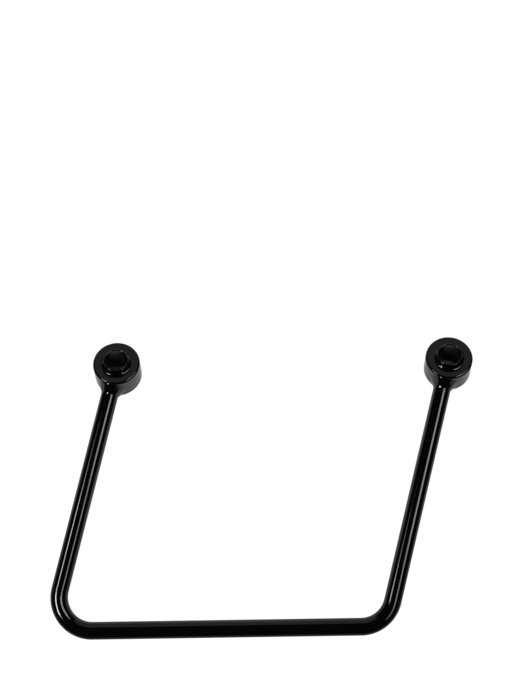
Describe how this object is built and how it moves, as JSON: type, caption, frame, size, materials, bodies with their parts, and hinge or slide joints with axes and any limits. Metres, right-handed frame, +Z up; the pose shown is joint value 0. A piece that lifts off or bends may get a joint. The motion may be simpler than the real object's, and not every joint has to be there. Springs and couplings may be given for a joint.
{
  "type": "pannier frame",
  "caption": "Motorcycle pannier frame: a gloss black round bar bent into a leaning U, each end welded to a turned boss with a through bore and a locating spigot.",
  "frame": {"origin": "middle of the part's box on the surface it lies on", "axes": "+X runs from the front boss to the rear boss, +Y from the run of the bar to the bosses, +Z up from the surface it lies on, spigots upward"},
  "size_m": [0.31, 0.2151, 0.0306],
  "materials": {
    "black_paint": "smooth gloss black paint over mild steel"
  },
  "bodies": {
    "root": {"bent_bar": "black_paint", "front_boss": "black_paint", "rear_boss": "black_paint", "front_weld": "black_paint", "rear_weld": "black_paint"}
  },
  "joints": []
}
